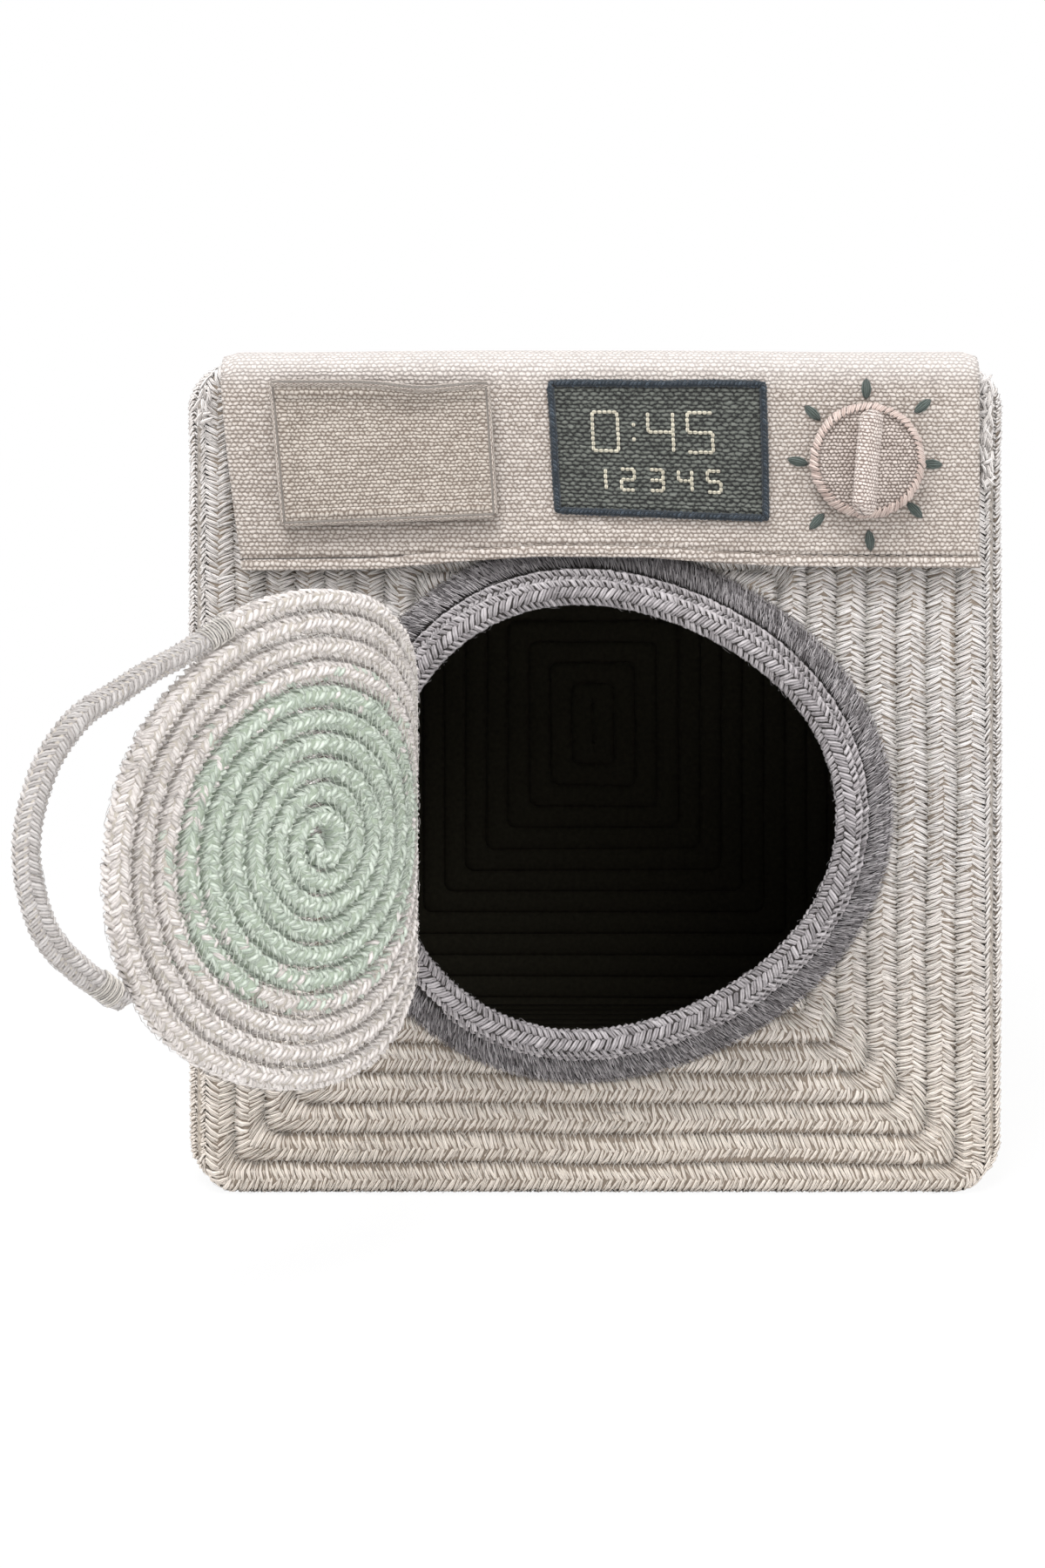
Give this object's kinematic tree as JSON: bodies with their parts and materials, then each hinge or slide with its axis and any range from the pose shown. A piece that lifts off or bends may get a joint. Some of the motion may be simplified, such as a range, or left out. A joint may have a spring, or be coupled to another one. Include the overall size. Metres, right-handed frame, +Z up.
{
  "type": "toy washing machine",
  "caption": "Soft toy washing machine of wound cotton rope: boxy tub, round mouth with a collar, coiled rope door with a loop handle, cloth control flap with pocket and dial.",
  "frame": {"origin": "on the floor, under the middle of the body", "axes": "+Z up, the front with the mouth faces -Y, +X to the right of someone who looks at the front"},
  "size_m": [0.335, 0.4972, 0.3181],
  "materials": {
    "cream_rope": "matte braided cotton rope, natural cream",
    "mint_rope": "matte braided cotton rope, pale mint",
    "grey_rope": "matte braided cotton rope, grey",
    "grey_thread": "dense satin zigzag stitching, grey",
    "flap_cloth": "coarse plain-weave cotton, natural",
    "pocket_cloth": "fine cotton cloth, pale",
    "dark_cloth": "coarse dark olive-grey weave",
    "navy_cord": "thin sewn cord, dark slate",
    "tick_thread": "dark grey-green embroidery thread",
    "dial_cloth": "padded cotton cloth with an overcast yarn edge",
    "stud_metal": "plated press stud",
    "cream_thread": "cream sewing thread"
  },
  "bodies": {
    "body": {"tub_wall": "cream_rope", "front_panel": "cream_rope", "back_panel": "cream_rope", "mouth_binding": "grey_thread", "collar_rope": "grey_rope", "control_flap": "flap_cloth", "flap_hem": "flap_cloth", "detergent_pocket": "pocket_cloth", "pocket_hem": "pocket_cloth", "display_patch": "dark_cloth", "display_cord": "navy_cord", "tick_stitch_1": "tick_thread", "tick_stitch_2": "tick_thread", "tick_stitch_3": "tick_thread", "tick_stitch_4": "tick_thread", "tick_stitch_5": "tick_thread", "tick_stitch_6": "tick_thread", "tick_stitch_7": "tick_thread", "tick_stitch_8": "tick_thread", "dial_stud": "stud_metal", "hinge_stitch_1": "cream_thread", "hinge_stitch_2": "cream_thread", "hinge_stitch_3": "cream_thread", "hinge_stitch_4": "cream_thread", "hinge_stitch_5": "cream_thread"},
    "door": {"door_center_coil": "mint_rope", "door_outer_coil": "cream_rope", "door_handle": "cream_rope", "handle_stitch_upper": "cream_thread", "handle_stitch_lower": "cream_thread"},
    "dial": {"dial_face": "dial_cloth", "dial_edge": "dial_cloth", "dial_grip": "dial_cloth", "dial_socket": "stud_metal"}
  },
  "joints": [
    {"name": "door_hinge", "type": "hinge", "parent": "body", "child": "door", "pos_m": [-0.077, -0.17841, 0.146], "axis": [0, 0, 1], "range_deg": [-60, 115]},
    {"name": "dial_turn", "type": "hinge", "parent": "body", "child": "dial", "pos_m": [0.101, -0.158, 0.2766], "axis": [0, -1, 0], "continuous": true}
  ]
}
